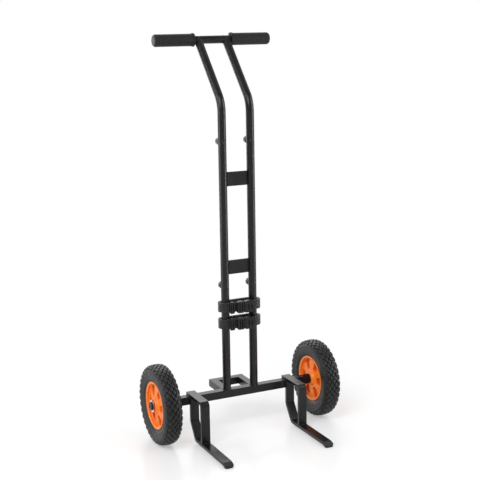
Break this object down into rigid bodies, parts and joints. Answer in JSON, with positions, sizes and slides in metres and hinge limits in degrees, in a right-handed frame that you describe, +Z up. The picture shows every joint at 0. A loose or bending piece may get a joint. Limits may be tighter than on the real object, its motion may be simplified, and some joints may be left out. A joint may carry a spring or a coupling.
{
  "type": "plant caddy",
  "caption": "Upright plant caddy with wheels on a cross beam, forked toes for a pot, a foot pedal, jointed tube uprights, a raked T handle and straps put away on the frame.",
  "frame": {"origin": "on the floor, under the middle of the caddy's box, midway between the wheels", "axes": "+Z up; the toes point to -Y and the handle leans to +Y; +X is to the right as seen from in front"},
  "size_m": [0.5316, 0.402, 1.075],
  "materials": {
    "tyre_rubber": "matt",
    "rim_plastic": "satin",
    "bush_nylon": "satin",
    "zinc_plate": "bright",
    "black_hardware": "satin",
    "frame_coat": "satin powder coat",
    "black_plastic": "satin",
    "grip_foam": "matt",
    "cap_plastic": "satin",
    "strap_webbing": "woven"
  },
  "bodies": {
    "caddy": {"left_axle_washer": "zinc_plate", "right_axle_washer": "zinc_plate", "left_beam_insert": "zinc_plate", "right_beam_insert": "zinc_plate", "left_axle_bolt": "black_hardware", "right_axle_bolt": "black_hardware", "left_lower_seam_bolt": "black_hardware", "left_upper_seam_bolt": "black_hardware", "right_lower_seam_bolt": "black_hardware", "right_upper_seam_bolt": "black_hardware", "cross_beam": "frame_coat", "pedal_bar": "frame_coat", "left_pedal_arm": "frame_coat", "right_pedal_arm": "frame_coat", "left_lower_upright": "frame_coat", "left_middle_upright": "frame_coat", "left_upper_upright": "frame_coat", "right_lower_upright": "frame_coat", "right_middle_upright": "frame_coat", "right_upper_upright": "frame_coat", "lower_cross_plate": "frame_coat", "upper_cross_plate": "frame_coat", "handle_bar": "frame_coat", "left_toe_bar": "frame_coat", "right_toe_bar": "frame_coat", "left_hanger_bar": "frame_coat", "right_hanger_bar": "frame_coat", "left_lower_knob": "black_plastic", "left_upper_knob": "black_plastic", "right_lower_knob": "black_plastic", "right_upper_knob": "black_plastic", "left_wheel_spacer": "black_plastic", "right_wheel_spacer": "black_plastic", "lower_buckle_socket": "black_plastic", "lower_buckle_plug": "black_plastic", "lower_strap_slider": "black_plastic", "upper_buckle_socket": "black_plastic", "upper_buckle_plug": "black_plastic", "upper_strap_slider": "black_plastic", "left_grip": "grip_foam", "right_grip": "grip_foam", "left_grip_cap": "cap_plastic", "right_grip_cap": "cap_plastic", "lower_strap_webbing": "strap_webbing", "upper_strap_webbing": "strap_webbing"},
    "left_wheel": {"left_tyre": "tyre_rubber", "left_wheel_rim": "rim_plastic", "left_outer_bush": "bush_nylon", "left_inner_bush": "bush_nylon"},
    "right_wheel": {"right_tyre": "tyre_rubber", "right_wheel_rim": "rim_plastic", "right_outer_bush": "bush_nylon", "right_inner_bush": "bush_nylon"}
  },
  "joints": [
    {"name": "left_wheel_spin", "type": "hinge", "parent": "caddy", "child": "left_wheel", "pos_m": [-0.2355, 0.039, 0.108], "axis": [1, 0, 0], "continuous": true},
    {"name": "right_wheel_spin", "type": "hinge", "parent": "caddy", "child": "right_wheel", "pos_m": [0.2355, 0.039, 0.108], "axis": [1, 0, 0], "continuous": true}
  ]
}
